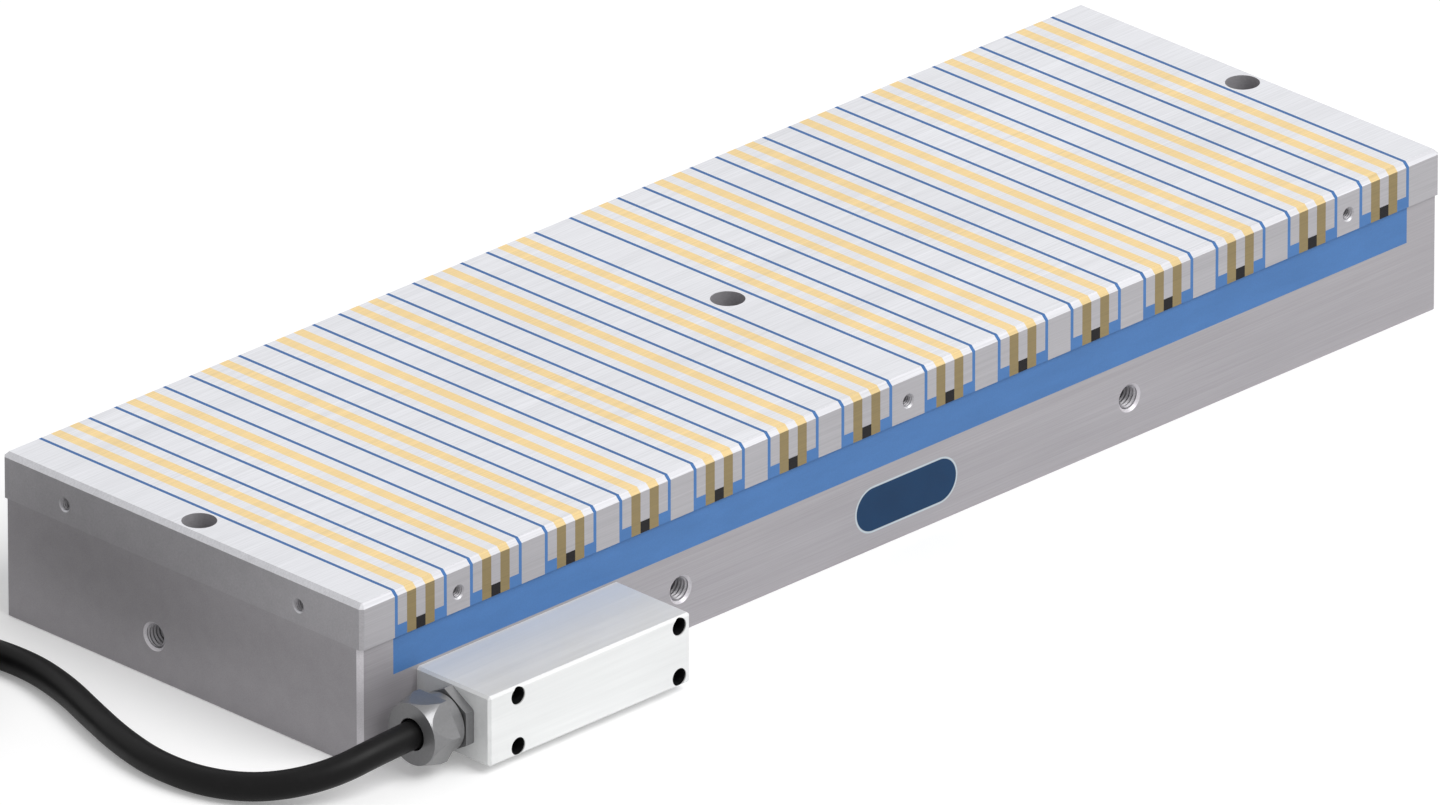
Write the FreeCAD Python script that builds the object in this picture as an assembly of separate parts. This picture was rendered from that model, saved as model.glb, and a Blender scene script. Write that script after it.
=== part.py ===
import FreeCAD, Part

import math
import os

# An electro-permanent magnetic chuck with a fine transverse pole plate.
#
# A ground steel base carries AlNiCo blocks, each inside its own coil and cast in blue resin. On them
# lies a plate of steel pole bars with brass, resin and ferrite between them. A pulse through the coils
# switches the AlNiCo, so there is no lever. The supply cable enters a connection box on the front
# through a gland and ends in a round connector.
#
# Frame, in millimetres: +X along the length, +Y from the front to the back, +Z up. The origin is in the
# middle of the underside.

# ---- driving dimensions ----

LENGTH = 600.0
WIDTH = 200.0
HEIGHT = 70.0
PLATE_THICKNESS = 19.5
PLATE_OVERHANG = 1.0
POTTING_DEPTH = 16.0
END_POLE_WIDTH = 18.0
CENTRE_POLE_WIDTH = 18.0
POLE_WIDTH = 12.6
INSERTS_PER_SIDE = 7

PLATE_EDGE_CHAMFER = 2.0
PLATE_CORNER_CHAMFER = 1.5
BASE_CORNER_CHAMFER = 2.0
BASE_EDGE_CHAMFER = 0.5

# one insert between two pole bars, from side to side
RESIN_GAP = 1.6
STRIP_WIDTH = 5.0
BRASS_WIDTH = 5.0
STRIP_FOOT = 5.0

# AlNiCo blocks and coils
MAGNET_ROW = 144.0
MAGNET_GAP = 1.5
COIL_DEPTH = 12.5
COIL_HEIGHT = 14.0
COIL_CORNER = 6.0
BUSH_RADIUS = 8.5

# holes
HOLD_DOWN_X = 290.0
HOLD_DOWN_HEAD_RADIUS = 7.0
HOLD_DOWN_BOLT_RADIUS = 4.5
HOLD_DOWN_SEAT_Z = 20.0
M12_RADIUS = 5.1
M12_MOUTH_RADIUS = 6.1
M12_DEPTH = 24.0
M12_X = 125.0
M12_Z = 18.4
M12_END_Y = 15.3
M6_RADIUS = 2.5
M6_MOUTH_RADIUS = 3.15
M6_DEPTH = 12.0
THREAD_PLAY = 0.05
SCREW_CLEARANCE = 0.5
BOX_SCREW_HOLE_DEPTH = 12.0
M6_Z = 58.5
M6_END_Y = 65.0
PLATE_SCREW_Y = 40.0
PLATE_SCREW_RADIUS = 4.0
PLATE_SCREW_HEAD_RADIUS = 6.5
PLATE_SCREW_HEAD_HEIGHT = 8.0
PLATE_SCREW_HEAD_Z = 1.0
PLATE_SCREW_LENGTH = 55.0

# name plate, a blank stadium in a shallow recess of the front
NAME_PLATE_LENGTH = 57.0
NAME_PLATE_HEIGHT = 20.0
NAME_PLATE_THICKNESS = 0.5
NAME_PLATE_Z = 17.6

# connection box on the front
BOX_LEFT = -269.25
BOX_LENGTH = 110.0
BOX_DEPTH = 40.0
BOX_HEIGHT = 30.0
BOX_BOTTOM = 3.5
BOX_CHAMFER = 1.1
BOX_CAVITY_FROM = 22.0
BOX_CAVITY_TO = 97.5
BOX_WALL = 4.0
BOX_FRONT_WALL = 6.0
GASKET_WIDTH = 1.5
GASKET_HEIGHT = 1.2
GASKET_INSET = 0.8
BOX_SCREW_X = (15.65, 103.65)
BOX_SCREW_Z = 10.8
BOX_SCREW_RADIUS = 2.0
BOX_SCREW_HEAD_RADIUS = 3.5
BOX_SCREW_HEAD_HEIGHT = 4.0
BOX_SCREW_LENGTH = 35.0
BOX_COUNTERBORE_RADIUS = 3.7
BOX_COUNTERBORE_DEPTH = 16.0
BOX_CLEARANCE_RADIUS = 2.25

# terminal block on the floor of the box
TERMINAL_LENGTH = 14.0
TERMINAL_RIGHT = BOX_LEFT + 46.0
TERMINAL_WIDTH = 20.0
TERMINAL_HEIGHT = 11.0
TERMINAL_PITCH = 6.5

# cable gland, M20 x 1.5, on the left end of the box
GLAND_Y = -118.5
GLAND_Z = 18.5
GLAND_THREAD_RADIUS = 9.2
GLAND_THREAD_LENGTH = 9.5
GLAND_BORE = 6.5
GLAND_HEX = 24.0
GLAND_FLANGE = 4.4
GLAND_NECK_RADIUS = 10.0
GLAND_NECK_END = 14.5
CAP_HEX = 26.0
CAP_COLLAR_START = 4.8
CAP_HEX_START = 10.35
CAP_FRONT = 22.05
CAP_FACE_RADIUS = 12.8
CAP_CONE_DEGREES = 15.0
CAP_HOLE = 6.7

# cable
CABLE_RADIUS = 5.75
CABLE_ENTRY_END = -258.0
CORE_RADIUS = 1.2
CORE_SPREAD = 2.6
LEAD_RADIUS = 1.2
COIL_CENTRE = (-424.0, 108.0)
CABLE_COIL_OUTER = 86.25
CABLE_COIL_INNER = 40.25
CABLE_COIL_LAYERS = 2

# centre line of the cable from the gland to the put-away coil
CABLE_ROUTE = [
    (-286.0, -118.5, 18.5),
    (-306.0, -118.5, 18.0),
    (-331.0, -114.8, 12.5),
    (-351.0, -99.5, 7.3),
    (-363.0, -78.5, 5.75),
    (-365.2, -53.0, 5.75),
    (-358.5, -27.0, 5.75),
    (-348.5, -1.0, 5.75),
    (-338.7, 25.0, 5.75),
    (-333.7, 51.0, 5.75),
    (-337.0, 78.0, 5.75),
    (-341.5, 97.0, 5.75),
]

# centre line of the cable from the top of the coil to the connector
TAIL_ROUTE = [
    (-344.0, 112.0, 15.5),
    (-347.0, 136.0, 22.0),
    (-363.5, 158.5, 31.0),
    (-388.5, 171.3, 37.5),
    (-416.0, 172.0, 37.5),
]

# connector on top of the coil, 75 long, along the end of the tail
CONNECTOR_LENGTH = 75.0
BACK_NUT_LENGTH = 16.0
BACK_NUT_HEX = 22.0
SHELL_RADIUS = 12.0
RING_START = 50.0
RING_LENGTH = 20.0
RING_RADIUS = 14.0
RING_GROOVES = 10
PIN_COUNT = 6
PIN_RADIUS = 1.0
PIN_CIRCLE = 5.2

# ---- derived dimensions ----

HALF_LENGTH = LENGTH / 2
HALF_WIDTH = WIDTH / 2
BASE_TOP = HEIGHT - PLATE_THICKNESS
BASE_HALF_WIDTH = HALF_WIDTH - PLATE_OVERHANG
POCKET_FLOOR = BASE_TOP - POTTING_DEPTH
POCKET_HALF = HALF_LENGTH - END_POLE_WIDTH
INSERT_WIDTH = 2 * RESIN_GAP + 3 * STRIP_WIDTH + 2 * BRASS_WIDTH
PITCH = INSERT_WIDTH + POLE_WIDTH
STRIP_BOTTOM = BASE_TOP + STRIP_FOOT
COIL_BOTTOM = POCKET_FLOOR + (POTTING_DEPTH - COIL_HEIGHT) / 2
BOX_FRONT = -BASE_HALF_WIDTH - BOX_DEPTH
BOX_MID_Z = BOX_BOTTOM + BOX_HEIGHT / 2
CHANNEL_X = -HALF_LENGTH + END_POLE_WIDTH + INSERT_WIDTH + PITCH + POLE_WIDTH / 2
CHANNEL_Y = -(MAGNET_ROW / 2 + COIL_DEPTH + 6.0)
CHANNEL_RADIUS = 4.0

X_AXIS = FreeCAD.Vector(1, 0, 0)
Y_AXIS = FreeCAD.Vector(0, 1, 0)
Z_AXIS = FreeCAD.Vector(0, 0, 1)


# ---- building blocks ----

def point(x, y, z):
    return FreeCAD.Vector(x, y, z)


def block(x0, x1, y0, y1, z0, z1):
    """A rectangular solid between two corners."""
    return Part.makeBox(x1 - x0, y1 - y0, z1 - z0, point(x0, y0, z0))


def rod(radius, start, direction, length):
    """A round solid that starts at a point and runs along a direction."""
    return Part.makeCylinder(radius, length, start, direction)


def bevel(shape, size, wanted):
    """Chamfer the straight edges whose two end points both satisfy wanted."""
    edges = [e for e in shape.Edges if all(wanted(v.Point) for v in e.Vertexes)]
    return shape.makeChamfer(size, edges)


def upright_edges(shape):
    return [e for e in shape.Edges if abs(e.tangentAt(e.FirstParameter).z) > 0.99]


def turned(profile):
    """A solid of revolution about the X axis, from (distance along X, radius) points."""
    corners = [point(x, 0, r) for x, r in profile]
    wire = Part.makePolygon(corners + [corners[0]])
    return Part.Face(wire).revolve(point(0, 0, 0), X_AXIS, 360)


def hex_bar(across_flats, x0, x1, turn=0.0):
    """A hexagonal prism along the X axis. With no turn a corner points up."""
    corner = across_flats / math.sqrt(3)
    angles = [math.radians(turn + 60 * i) for i in range(7)]
    outline = [point(x0, corner * math.sin(a), corner * math.cos(a)) for a in angles]
    return Part.Face(Part.makePolygon(outline)).extrude(point(x1 - x0, 0, 0))


def tapped_hole(radius, mouth_radius, depth, mouth, inward):
    """The tool for a tapped hole: its minor diameter, with a 45 degree mouth."""
    lead = mouth_radius - radius
    hole = rod(radius, mouth, inward, depth)
    mouth_cone = Part.makeCone(mouth_radius, radius, lead, mouth, inward)
    return hole.fuse(mouth_cone)


def socket_screw(radius, length, head_radius, head_height, key_size):
    """A socket head cap screw along +X: the head is at x < 0 and its seat at x = 0."""
    head_and_shank = turned([
        (-head_height, 0),
        (-head_height, head_radius),
        (0, head_radius),
        (0, radius),
        (length, radius),
        (length, 0),
    ])
    key = hex_bar(key_size, -head_height, -head_height / 2)
    return head_and_shank.cut(key)


def placed(shape, origin, yaw=0.0, pitch=0.0):
    """Turn a shape built along +X by pitch about Y and yaw about Z, then move it to an origin."""
    turn = FreeCAD.Rotation(yaw, pitch, 0)
    moved = shape.copy()
    moved.Placement = FreeCAD.Placement(origin, turn).multiply(shape.Placement)
    return moved


def bend_radii(route):
    """The arc radius at each inner point of a route, and how far before the point its arc starts."""
    found = []
    for before, corner, after in zip(route, route[1:], route[2:]):
        inward = point(*corner) - point(*before)
        outward = point(*after) - point(*corner)
        half_turn = inward.getAngle(outward) / 2
        reach = 0.45 * min(inward.Length, outward.Length)
        found.append((reach / math.tan(half_turn), reach))
    return found


def tube(route, radius):
    """A round solid along straight runs joined by tangent arcs."""
    edges = []
    at = point(*route[0])
    for (bend, reach), before, corner, after in zip(bend_radii(route), route, route[1:], route[2:]):
        tip = point(*corner)
        inward = (tip - point(*before)).normalize()
        outward = (point(*after) - tip).normalize()
        start = tip - inward * reach
        end = tip + outward * reach
        to_centre = (outward - inward).normalize()
        half_turn = inward.getAngle(outward) / 2
        middle = tip + to_centre * (bend / math.cos(half_turn) - bend)
        edges.append(Part.LineSegment(at, start).toShape())
        edges.append(Part.Arc(start, middle, end).toShape())
        at = end
    edges.append(Part.LineSegment(at, point(*route[-1])).toShape())
    path = Part.Wire(edges)
    first_run = point(*route[1]) - point(*route[0])
    section = Part.Wire(Part.makeCircle(radius, point(*route[0]), first_run))
    solid = path.makePipeShell([section], True, False)
    expected = math.pi * radius * radius * path.Length
    print("  tube length %.1f, volume %.4f of section times length" % (
        path.Length, solid.Volume / expected))
    return solid


def bent_wire(route, radius):
    """A thin wire with a mitred corner at each point."""
    path = Part.makePolygon([point(*p) for p in route])
    first_run = point(*route[1]) - point(*route[0])
    section = Part.Wire(Part.makeCircle(radius, point(*route[0]), first_run))
    return path.makePipeShell([section], True, False, 1)


def save(name, *solids):
    """Write one sub-part."""
    shape = solids[0] if len(solids) == 1 else Part.makeCompound(list(solids))
    if not shape.isValid():
        raise ValueError(name + " is not valid")
    print("%-22s %3d solids %12.1f mm3" % (name, len(shape.Solids), shape.Volume))
    shape.exportStep("parts/%s.step" % name)


# ---- layout of the pole plate ----

def insert_starts():
    """The left side of each insert between two pole bars, from left to right."""
    right = [CENTRE_POLE_WIDTH / 2 + i * PITCH for i in range(INSERTS_PER_SIDE)]
    left = [-start - INSERT_WIDTH for start in reversed(right)]
    return left + right


def pole_centres():
    """The middle of each pole bar between two inserts, from left to right."""
    ends = [start + INSERT_WIDTH for start in insert_starts()]
    return [(end + start) / 2 for end, start in zip(ends, insert_starts()[1:])]


def pole_width(centre):
    return CENTRE_POLE_WIDTH if abs(centre) < 1 else POLE_WIDTH


def plate_envelope():
    """The outer shape of the whole pole plate, with its chamfers."""
    plate = block(-HALF_LENGTH, HALF_LENGTH, -HALF_WIDTH, HALF_WIDTH, BASE_TOP, HEIGHT)
    plate = plate.makeChamfer(PLATE_CORNER_CHAMFER, upright_edges(plate))
    return bevel(plate, PLATE_EDGE_CHAMFER, lambda p: p.z > HEIGHT - 0.01)


def plate_layer(envelope, x0, width, bottom):
    """A strip of the plate, across its whole width, from bottom to the work face."""
    strip = block(x0, x0 + width, -HALF_WIDTH, HALF_WIDTH, bottom, HEIGHT)
    return strip.common(envelope).Solids[0]


def side_stops(x):
    """M6 holes in the front and back ends of a pole bar."""
    front = tapped_hole(M6_RADIUS, M6_MOUTH_RADIUS, M6_DEPTH, point(x, -HALF_WIDTH, M6_Z), Y_AXIS)
    back = tapped_hole(M6_RADIUS, M6_MOUTH_RADIUS, M6_DEPTH, point(x, HALF_WIDTH, M6_Z), -Y_AXIS)
    return [front, back]


# ---- pole plate ----

def end_pole(envelope, side):
    """The solid end of the plate. side is -1 for the left and 1 for the right."""
    middle = side * (HALF_LENGTH - END_POLE_WIDTH / 2)
    shape = plate_layer(envelope, middle - END_POLE_WIDTH / 2, END_POLE_WIDTH, BASE_TOP)
    holes = [rod(HOLD_DOWN_HEAD_RADIUS, point(side * HOLD_DOWN_X, 0, 0), Z_AXIS, HEIGHT)]
    for y in (-M6_END_Y, M6_END_Y):
        mouth = point(side * HALF_LENGTH, y, M6_Z)
        holes.append(tapped_hole(M6_RADIUS, M6_MOUTH_RADIUS, M6_DEPTH, mouth, X_AXIS * -side))
    for y in (-PLATE_SCREW_Y, PLATE_SCREW_Y):
        thread_end = PLATE_SCREW_HEAD_Z + PLATE_SCREW_HEAD_HEIGHT + PLATE_SCREW_LENGTH + 1.5
        holes.append(rod(PLATE_SCREW_RADIUS + THREAD_PLAY, point(side * HOLD_DOWN_X, y, 0), Z_AXIS, thread_end))
    return shape.cut(holes)


def pole_bar(envelope, centre, has_side_stops):
    """One full-height steel bar. The middle one also lets the hold-down bolt through."""
    width = pole_width(centre)
    shape = plate_layer(envelope, centre - width / 2, width, BASE_TOP)
    if has_side_stops:
        shape = shape.cut(side_stops(centre))
    if abs(centre) < 1:
        shape = shape.cut(rod(HOLD_DOWN_HEAD_RADIUS, point(0, 0, 0), Z_AXIS, HEIGHT))
    return shape


def insert_strips(envelope, start):
    """The three steel strips of one insert. They stop above the resin feet and the ferrite bar."""
    step = STRIP_WIDTH + BRASS_WIDTH
    return [plate_layer(envelope, start + RESIN_GAP + i * step, STRIP_WIDTH, STRIP_BOTTOM)
            for i in range(3)]


def insert_brass(envelope, start):
    """The two brass spacers of one insert, over the full height of the plate."""
    step = STRIP_WIDTH + BRASS_WIDTH
    return [plate_layer(envelope, start + RESIN_GAP + STRIP_WIDTH + i * step, BRASS_WIDTH, BASE_TOP)
            for i in range(2)]


def ferrite_bar(start):
    """The ferrite bar under the middle strip of one insert."""
    left = start + (INSERT_WIDTH - STRIP_WIDTH) / 2
    return block(left, left + STRIP_WIDTH, -HALF_WIDTH, HALF_WIDTH, BASE_TOP, STRIP_BOTTOM)


def resin_seams(envelope, start):
    """The two resin seams of one insert, each with the foot that its outer strip stands on."""
    shapes = []
    for near, inward in ((start, 1), (start + INSERT_WIDTH, -1)):
        seam_side = near + inward * RESIN_GAP
        foot_side = seam_side + inward * STRIP_WIDTH
        outline = [
            point(near, -HALF_WIDTH, BASE_TOP),
            point(foot_side, -HALF_WIDTH, BASE_TOP),
            point(foot_side, -HALF_WIDTH, STRIP_BOTTOM),
            point(seam_side, -HALF_WIDTH, STRIP_BOTTOM),
            point(seam_side, -HALF_WIDTH, HEIGHT),
            point(near, -HALF_WIDTH, HEIGHT),
            point(near, -HALF_WIDTH, BASE_TOP),
        ]
        profile = Part.Face(Part.makePolygon(outline))
        shapes.append(profile.extrude(point(0, WIDTH, 0)).common(envelope))
    return shapes


# ---- magnets and coils under the plate ----

def magnet_spans(centre):
    """Where the AlNiCo blocks of one pole start and end along Y."""
    half = MAGNET_ROW / 2
    if abs(centre) < 1:
        inner = BUSH_RADIUS + 1.0
        middle = (inner + half) / 2
        side = [(inner, middle - MAGNET_GAP / 2), (middle + MAGNET_GAP / 2, half)]
        return [(-b, -a) for a, b in side] + side
    long = (MAGNET_ROW - 2 * MAGNET_GAP) / 3
    return [(-half + i * (long + MAGNET_GAP), -half + i * (long + MAGNET_GAP) + long) for i in range(3)]


def alnico_blocks(centre):
    half = pole_width(centre) / 2
    return [block(centre - half, centre + half, y0, y1, POCKET_FLOOR, BASE_TOP)
            for y0, y1 in magnet_spans(centre)]


def switching_coil(centre):
    """The coil round one row of AlNiCo blocks, wound straight on to them."""
    half_x = pole_width(centre) / 2
    half_y = MAGNET_ROW / 2
    z0, z1 = COIL_BOTTOM, COIL_BOTTOM + COIL_HEIGHT
    outer = block(centre - half_x - COIL_DEPTH, centre + half_x + COIL_DEPTH,
                  -half_y - COIL_DEPTH, half_y + COIL_DEPTH, z0, z1)
    outer = outer.makeChamfer(COIL_CORNER, upright_edges(outer))
    return outer.cut(block(centre - half_x, centre + half_x, -half_y, half_y, z0, z1))


def centre_bush():
    """The non-magnetic bush that keeps the resin out of the middle hold-down hole."""
    tube_wall = rod(BUSH_RADIUS, point(0, 0, POCKET_FLOOR), Z_AXIS, POTTING_DEPTH)
    return tube_wall.cut(rod(HOLD_DOWN_HEAD_RADIUS, point(0, 0, POCKET_FLOOR), Z_AXIS, POTTING_DEPTH))


def lead_wires():
    """Two leads from a coil, down the channel in the base, to the terminal block in the box."""
    coil_face = -(MAGNET_ROW / 2 + COIL_DEPTH)
    high = POCKET_FLOOR + POTTING_DEPTH / 2
    wires = []
    for side, level in ((-1, 14.0), (1, 10.5)):
        x = CHANNEL_X + side * 2.0
        y = GLAND_Y + side * 5.0
        low = BOX_MID_Z + side * 1.5
        wires.append(bent_wire([
            (x, coil_face, high),
            (x, CHANNEL_Y + 2.0, high),
            (x, CHANNEL_Y, high - 2.0),
            (x, CHANNEL_Y, low + 2.0),
            (x, CHANNEL_Y - 2.0, low),
            (x, y + 3.0, low),
            (x - 3.0, y, level),
            (TERMINAL_RIGHT, y, level),
        ], LEAD_RADIUS))
    return wires


def resin_potting(envelope, hidden):
    """The casting that fills the pocket and the seams of the plate, less what it holds."""
    slab = block(-POCKET_HALF, POCKET_HALF, -BASE_HALF_WIDTH, BASE_HALF_WIDTH, POCKET_FLOOR, BASE_TOP)
    seams = [seam for start in insert_starts() for seam in resin_seams(envelope, start)]
    return slab.multiFuse(seams).removeSplitter().cut(hidden)


# ---- base ----

def stadium(length, height, thickness, front):
    """A flat plate with round ends, facing -Y, with its outer face at front."""
    radius = height / 2
    half = length / 2 - radius
    z = NAME_PLATE_Z
    low, high = z - radius, z + radius
    left_end, right_end = point(-half - radius, front, z), point(half + radius, front, z)
    outline = Part.Wire([
        Part.LineSegment(point(-half, front, low), point(half, front, low)).toShape(),
        Part.Arc(point(half, front, low), right_end, point(half, front, high)).toShape(),
        Part.LineSegment(point(half, front, high), point(-half, front, high)).toShape(),
        Part.Arc(point(-half, front, high), left_end, point(-half, front, low)).toShape(),
    ])
    return Part.Face(outline).extrude(point(0, thickness, 0))


def box_screw_places():
    return [(BOX_LEFT + x, BOX_MID_Z + z) for x in BOX_SCREW_X for z in (-BOX_SCREW_Z, BOX_SCREW_Z)]


def base_body():
    """The ground steel base: a trough for the coils between two raised ends."""
    body = block(-HALF_LENGTH, HALF_LENGTH, -BASE_HALF_WIDTH, BASE_HALF_WIDTH, 0, BASE_TOP)
    body = body.makeChamfer(BASE_CORNER_CHAMFER, upright_edges(body))
    body = bevel(body, BASE_EDGE_CHAMFER, lambda p: p.z < 0.01)
    cuts = [block(-POCKET_HALF, POCKET_HALF, -WIDTH, WIDTH, POCKET_FLOOR, HEIGHT)]
    for x in (-HOLD_DOWN_X, 0, HOLD_DOWN_X):
        cuts.append(rod(HOLD_DOWN_BOLT_RADIUS, point(x, 0, 0), Z_AXIS, HEIGHT))
        cuts.append(rod(HOLD_DOWN_HEAD_RADIUS, point(x, 0, HOLD_DOWN_SEAT_Z), Z_AXIS, HEIGHT))
    for x in (-M12_X, M12_X):
        for side in (-1, 1):
            mouth = point(x, side * BASE_HALF_WIDTH, M12_Z)
            cuts.append(tapped_hole(M12_RADIUS, M12_MOUTH_RADIUS, M12_DEPTH, mouth, Y_AXIS * -side))
    for side in (-1, 1):
        mouth = point(side * HALF_LENGTH, M12_END_Y, M12_Z)
        cuts.append(tapped_hole(M12_RADIUS, M12_MOUTH_RADIUS, M12_DEPTH, mouth, X_AXIS * -side))
        for y in (-PLATE_SCREW_Y, PLATE_SCREW_Y):
            foot = point(side * HOLD_DOWN_X, y, 0)
            seat = PLATE_SCREW_HEAD_Z + PLATE_SCREW_HEAD_HEIGHT
            cuts.append(rod(PLATE_SCREW_RADIUS + SCREW_CLEARANCE, foot, Z_AXIS, HEIGHT))
            cuts.append(rod(PLATE_SCREW_HEAD_RADIUS + SCREW_CLEARANCE, foot, Z_AXIS, seat))
    for x, z in box_screw_places():
        cuts.append(rod(BOX_SCREW_RADIUS + THREAD_PLAY, point(x, -BASE_HALF_WIDTH, z), Y_AXIS, BOX_SCREW_HOLE_DEPTH))
    cuts.append(rod(CHANNEL_RADIUS, point(CHANNEL_X, CHANNEL_Y, BOX_MID_Z), Z_AXIS, HEIGHT))
    elbow = WIDTH + CHANNEL_Y + CHANNEL_RADIUS
    cuts.append(rod(CHANNEL_RADIUS, point(CHANNEL_X, -WIDTH, BOX_MID_Z), Y_AXIS, elbow))
    cuts.append(stadium(NAME_PLATE_LENGTH, NAME_PLATE_HEIGHT, NAME_PLATE_THICKNESS, -BASE_HALF_WIDTH))
    return body.cut(cuts)


def plate_screws():
    """The four screws that hold the end poles, from below."""
    screw = socket_screw(PLATE_SCREW_RADIUS, PLATE_SCREW_LENGTH, PLATE_SCREW_HEAD_RADIUS,
                         PLATE_SCREW_HEAD_HEIGHT, 6.0)
    seat = PLATE_SCREW_HEAD_Z + PLATE_SCREW_HEAD_HEIGHT
    return [placed(screw, point(x, y, seat), 0, -90)
            for x in (-HOLD_DOWN_X, HOLD_DOWN_X) for y in (-PLATE_SCREW_Y, PLATE_SCREW_Y)]


# ---- connection box ----

def connection_box():
    """A milled aluminium box, open to the base, with the gland thread in its left end."""
    right = BOX_LEFT + BOX_LENGTH
    top = BOX_BOTTOM + BOX_HEIGHT
    shell = block(BOX_LEFT, right, BOX_FRONT, -BASE_HALF_WIDTH, BOX_BOTTOM, top)
    outer_edges = [e for e in shell.Edges if e.BoundBox.YMin < -BASE_HALF_WIDTH - 0.01]
    shell = shell.makeChamfer(BOX_CHAMFER, outer_edges)
    left_wall = BOX_LEFT + BOX_CAVITY_FROM
    right_wall = BOX_LEFT + BOX_CAVITY_TO
    floor = BOX_BOTTOM + BOX_WALL
    roof = top - BOX_WALL
    cuts = [block(left_wall, right_wall, BOX_FRONT + BOX_FRONT_WALL, 0, floor, roof)]
    axis = point(BOX_LEFT, GLAND_Y, GLAND_Z)
    cuts.append(rod(GLAND_THREAD_RADIUS + 0.05, axis, X_AXIS, GLAND_THREAD_LENGTH + 0.5))
    cuts.append(rod(CABLE_RADIUS + 0.1, axis, X_AXIS, BOX_CAVITY_FROM + 1.0))
    for x, z in box_screw_places():
        mouth = point(x, BOX_FRONT, z)
        cuts.append(rod(BOX_COUNTERBORE_RADIUS, mouth, Y_AXIS, BOX_COUNTERBORE_DEPTH))
        cuts.append(rod(BOX_CLEARANCE_RADIUS, mouth, Y_AXIS, BOX_DEPTH))
    cuts.append(box_gasket())
    return shell.cut(cuts)


def box_gasket():
    """The rubber ring in the back of the box, round its cavity."""
    inner_left = BOX_LEFT + BOX_CAVITY_FROM - GASKET_INSET
    inner_right = BOX_LEFT + BOX_CAVITY_TO + GASKET_INSET
    inner_low = BOX_BOTTOM + BOX_WALL - GASKET_INSET
    inner_high = BOX_BOTTOM + BOX_HEIGHT - BOX_WALL + GASKET_INSET
    y0, y1 = -BASE_HALF_WIDTH - GASKET_HEIGHT, -BASE_HALF_WIDTH
    outer = block(inner_left - GASKET_WIDTH, inner_right + GASKET_WIDTH, y0, y1,
                  inner_low - GASKET_WIDTH, inner_high + GASKET_WIDTH)
    return outer.cut(block(inner_left, inner_right, y0, y1, inner_low, inner_high))


def box_screws():
    screw = socket_screw(BOX_SCREW_RADIUS, BOX_SCREW_LENGTH, BOX_SCREW_HEAD_RADIUS,
                         BOX_SCREW_HEAD_HEIGHT, 3.0)
    seat = BOX_FRONT + BOX_COUNTERBORE_DEPTH
    return [placed(screw, point(x, seat, z), 90) for x, z in box_screw_places()]


def terminal_block():
    """A three-way terminal block on the floor of the box, with its clamping screws' wells."""
    left = TERMINAL_RIGHT - TERMINAL_LENGTH
    floor = BOX_BOTTOM + BOX_WALL
    body = block(left, TERMINAL_RIGHT, GLAND_Y - TERMINAL_WIDTH / 2, GLAND_Y + TERMINAL_WIDTH / 2,
                 floor, floor + TERMINAL_HEIGHT)
    wells = [rod(1.8, point(left + TERMINAL_LENGTH / 2, GLAND_Y + i * TERMINAL_PITCH, floor + 7), Z_AXIS, 5)
             for i in (-1, 0, 1)]
    return body.cut(wells)


def cable_cores():
    """The three cores, from the end of the sheath to the terminal block."""
    cores = []
    left = TERMINAL_RIGHT - TERMINAL_LENGTH
    for i in (-1, 0, 1):
        level = GLAND_Z + (1.6 if i == 0 else -1.2)
        cores.append(bent_wire([
            (CABLE_ENTRY_END, GLAND_Y + i * CORE_SPREAD, level),
            (BOX_LEFT + BOX_CAVITY_FROM + 1.0, GLAND_Y + i * CORE_SPREAD, level),
            (left - 3.0, GLAND_Y + i * TERMINAL_PITCH, 12.0),
            (left, GLAND_Y + i * TERMINAL_PITCH, 12.0),
        ], CORE_RADIUS))
    return cores


# ---- cable gland, built along +X from the face of the box and turned to point along -X ----

def on_gland(shape):
    return placed(shape, point(BOX_LEFT, GLAND_Y, GLAND_Z), 180)


def gland_body():
    """Thread in the box, hexagon against it, and a threaded neck with the seat of the seal."""
    turned_part = turned([
        (-GLAND_THREAD_LENGTH, 0),
        (-GLAND_THREAD_LENGTH, GLAND_THREAD_RADIUS),
        (0, GLAND_THREAD_RADIUS),
        (0, GLAND_NECK_RADIUS),
        (GLAND_NECK_END - 0.8, GLAND_NECK_RADIUS),
        (GLAND_NECK_END, GLAND_NECK_RADIUS - 0.8),
        (GLAND_NECK_END, 0),
    ])
    edge_cone = turned([(0, 0), (0, 13.4), (0.7, 14.2), (GLAND_FLANGE - 0.5, 14.2),
                        (GLAND_FLANGE, 13.6), (GLAND_FLANGE, 0)])
    flange = hex_bar(GLAND_HEX, 0, GLAND_FLANGE).common(edge_cone)
    bore = turned([
        (-GLAND_THREAD_LENGTH, 0),
        (-GLAND_THREAD_LENGTH, GLAND_BORE),
        (6.0, GLAND_BORE),
        (6.0, 8.5),
        (GLAND_NECK_END, 8.5),
        (GLAND_NECK_END, 0),
    ])
    return on_gland(turned_part.fuse(flange).removeSplitter().cut(bore))


def gland_seal():
    """The rubber seal round the cable. The cap nut squeezes it into the neck."""
    outline = [(6.0, CABLE_RADIUS), (6.0, 8.45), (14.5, 8.45), (16.2, 7.6), (16.2, CABLE_RADIUS)]
    return on_gland(turned(outline))


def gland_thrust_ring():
    """The plain ring between the seal and the cap nut. It moves in and out with the nut."""
    bore = CABLE_RADIUS + 0.5
    return on_gland(turned([(16.4, bore), (16.4, 8.6), (18.0, 8.6), (18.0, bore)]))


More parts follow.
